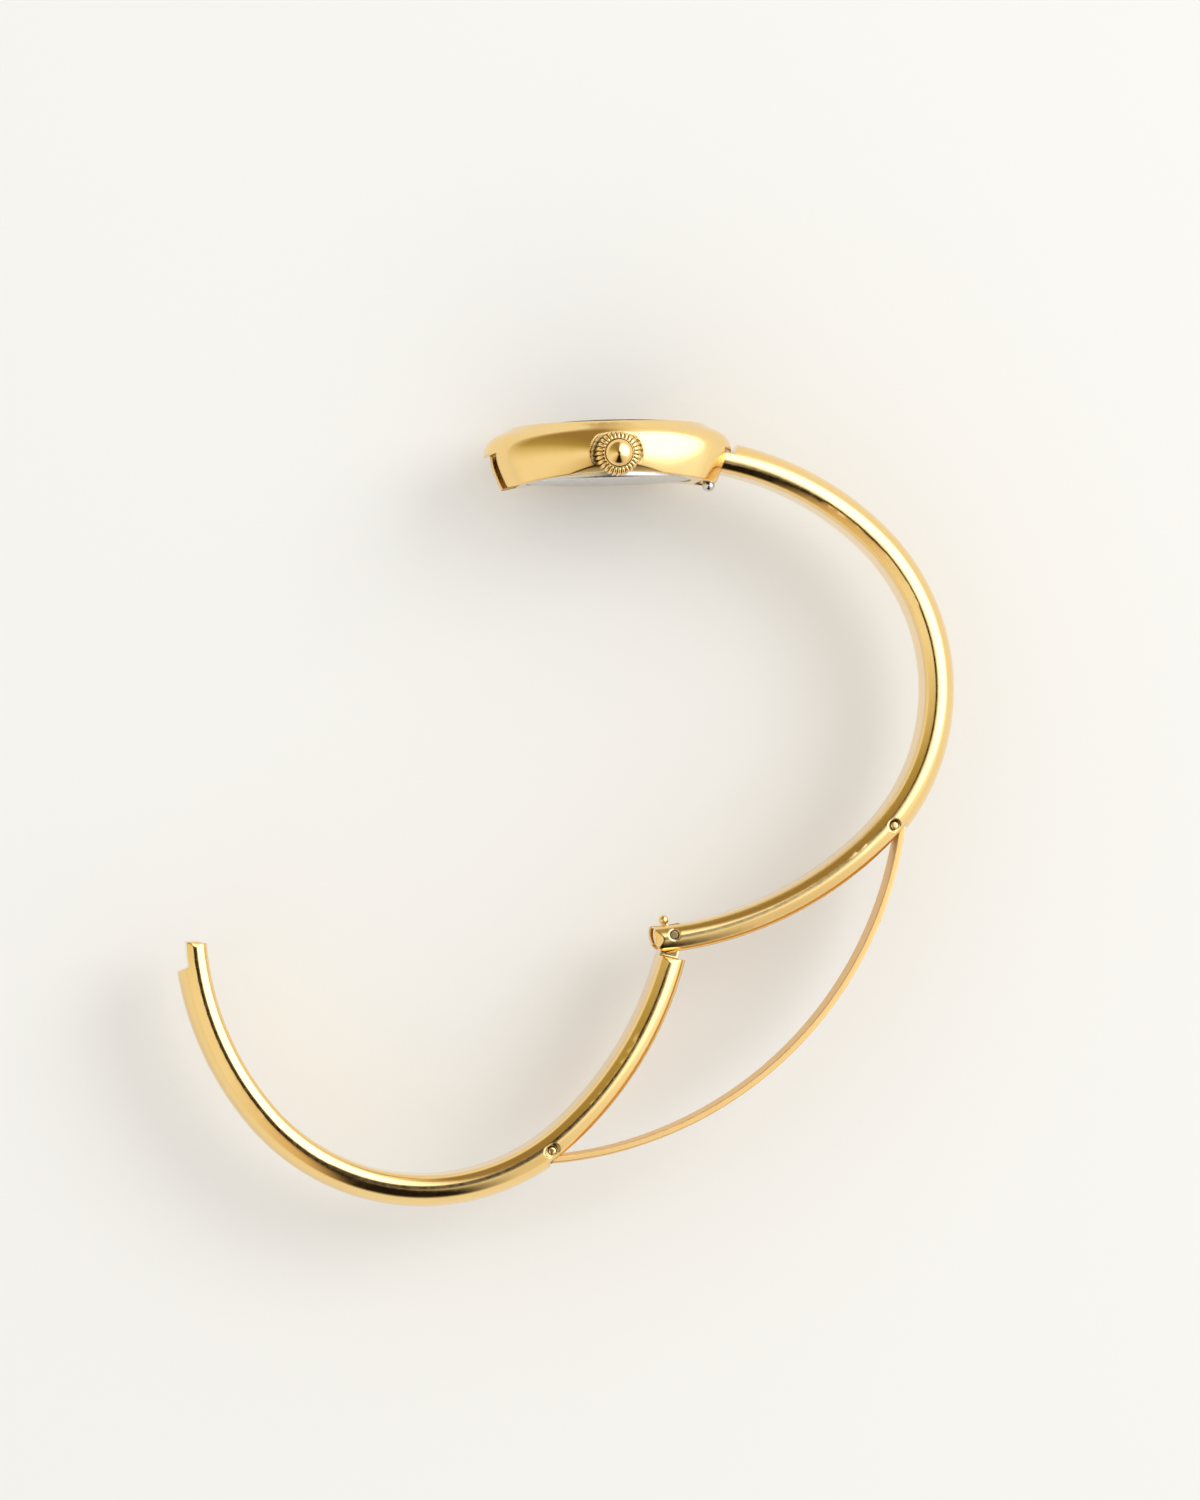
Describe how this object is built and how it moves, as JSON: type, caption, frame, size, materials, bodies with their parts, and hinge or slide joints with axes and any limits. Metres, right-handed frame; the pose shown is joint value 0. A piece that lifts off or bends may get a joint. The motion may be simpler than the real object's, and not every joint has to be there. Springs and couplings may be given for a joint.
{
  "type": "bangle watch",
  "caption": "Oval quartz watch on a two-arm gold bangle, held open or shut by a spring blade across its clasp hinge.",
  "frame": {"origin": "centre of the case back's outer face", "axes": "+X to 12 o'clock, +Y out through the dial, +Z along the crown, which points up as the watch lies on its side"},
  "size_m": [0.0787, 0.0779, 0.0212],
  "materials": {
    "polished_gold": "polished yellow gold plating",
    "gold_spring_steel": "gold-plated spring steel, drawn strip",
    "steel_back": "bead-blasted face and polished rim",
    "bar_steel": "turned and polished steel",
    "spring_wire": "drawn spring wire",
    "crystal_glass": "polished mineral crystal",
    "gasket_rubber": "moulded nitrile",
    "dial_lacquer": "ivory lacquer",
    "movement_brass": "machined brass",
    "movement_steel": "soft iron and magnet",
    "coil_copper": "enamelled copper winding",
    "cell_steel": "nickel-plated can",
    "holder_plastic": "moulded acetal",
    "board_laminate": "solder-masked laminate"
  },
  "bodies": {
    "head": {"case_body": "polished_gold", "case_back": "steel_back", "case_back_gasket": "gasket_rubber", "crystal": "crystal_glass", "crystal_gasket": "gasket_rubber", "dial": "dial_lacquer", "hour_markers": "polished_gold", "mainplate": "movement_brass", "train_bridge": "movement_brass", "bridge_screws": "bar_steel", "stator": "movement_steel", "coil": "coil_copper", "battery": "cell_steel", "battery_strap": "spring_wire", "circuit_board": "board_laminate", "movement_ring": "holder_plastic", "crown_tube": "bar_steel"},
    "upper_arm": {"arm_12": "polished_gold", "blade_pin_12": "polished_gold", "case_bar_barrel": "bar_steel", "case_bar_fixed_tip": "bar_steel", "case_bar_spring": "spring_wire", "clasp_bar_barrel": "bar_steel", "clasp_bar_fixed_tip": "bar_steel", "clasp_bar_spring": "spring_wire"},
    "lower_arm": {"arm_6": "polished_gold", "blade_pin_6": "polished_gold"},
    "blade": {"spring_blade": "gold_spring_steel"},
    "case_release": {"case_bar_lever_tip": "bar_steel"},
    "clasp_release": {"clasp_bar_lever_tip": "polished_gold"},
    "minute_works": {"centre_wheel": "movement_brass", "minute_hand": "polished_gold"},
    "hour_works": {"hour_wheel": "movement_brass", "hour_hand": "polished_gold"},
    "minute_gear": {"minute_wheel": "movement_brass"},
    "third_gear": {"third_wheel": "movement_brass"},
    "intermediate_gear": {"intermediate_wheel": "movement_brass"},
    "rotor_gear": {"rotor": "movement_steel"},
    "crown_turner": {"sliding_pinion": "bar_steel"},
    "crown_slider": {"stem": "bar_steel", "crown": "polished_gold", "crown_gasket": "gasket_rubber"}
  },
  "joints": [
    {"name": "arm_swivel", "type": "hinge", "parent": "head", "child": "upper_arm", "pos_m": [0.0104, 0.00181, 0], "axis": [0, 0, -1], "range_deg": [0, 6.2]},
    {"name": "clasp_hinge", "type": "hinge", "parent": "upper_arm", "child": "lower_arm", "pos_m": [0.00507, -0.04538, 0], "axis": [0, 0, -1], "range_deg": [0, 70.9]},
    {"name": "blade_swing", "type": "hinge", "parent": "upper_arm", "child": "blade", "pos_m": [0.02752, -0.03512, 0], "axis": [0, 0, -1], "range_deg": [0, 35.45], "deforming": ["spring_blade"]},
    {"name": "case_release_slide", "type": "slide", "parent": "upper_arm", "child": "case_release", "axis": [0, 0, -1], "range_m": [0, 0.0009], "stiffness_N_per_m": 400, "deforming": ["case_bar_spring"]},
    {"name": "clasp_release_slide", "type": "slide", "parent": "upper_arm", "child": "clasp_release", "axis": [0, 0, -1], "range_m": [0, 0.0012], "stiffness_N_per_m": 400, "deforming": ["clasp_bar_spring"]},
    {"name": "minute_turn", "type": "hinge", "parent": "head", "child": "minute_works", "pos_m": [0, 0, 0], "axis": [0, -1, 0], "continuous": true},
    {"name": "hour_turn", "type": "hinge", "parent": "head", "child": "hour_works", "pos_m": [0, 0, 0], "axis": [0, -1, 0], "continuous": true},
    {"name": "minute_wheel_turn", "type": "hinge", "parent": "head", "child": "minute_gear", "pos_m": [0, 0, 0.00192], "axis": [0, -1, 0], "continuous": true},
    {"name": "third_wheel_turn", "type": "hinge", "parent": "head", "child": "third_gear", "pos_m": [0.00138, 0, -0.00116], "axis": [0, -1, 0], "continuous": true},
    {"name": "intermediate_wheel_turn", "type": "hinge", "parent": "head", "child": "intermediate_gear", "pos_m": [0.0028, 0, -0.00091], "axis": [0, -1, 0], "continuous": true},
    {"name": "rotor_turn", "type": "hinge", "parent": "head", "child": "rotor_gear", "pos_m": [0.00401, 0, -0.00021], "axis": [0, -1, 0], "continuous": true},
    {"name": "crown_turn", "type": "hinge", "parent": "head", "child": "crown_turner", "pos_m": [0, 0.0023, 0], "axis": [0, 0, 1], "continuous": true},
    {"name": "crown_pull", "type": "slide", "parent": "crown_turner", "child": "crown_slider", "axis": [0, 0, 1], "range_m": [0, 0.0008]}
  ],
  "couplings": [
    {"joint": "blade_swing", "follows": "clasp_hinge", "ratio": 0.5},
    {"joint": "hour_turn", "follows": "minute_turn", "ratio": 0.083333},
    {"joint": "minute_wheel_turn", "follows": "minute_turn", "ratio": -0.33333},
    {"joint": "third_wheel_turn", "follows": "minute_turn", "ratio": -5},
    {"joint": "intermediate_wheel_turn", "follows": "minute_turn", "ratio": 15},
    {"joint": "rotor_turn", "follows": "minute_turn", "ratio": -90}
  ]
}
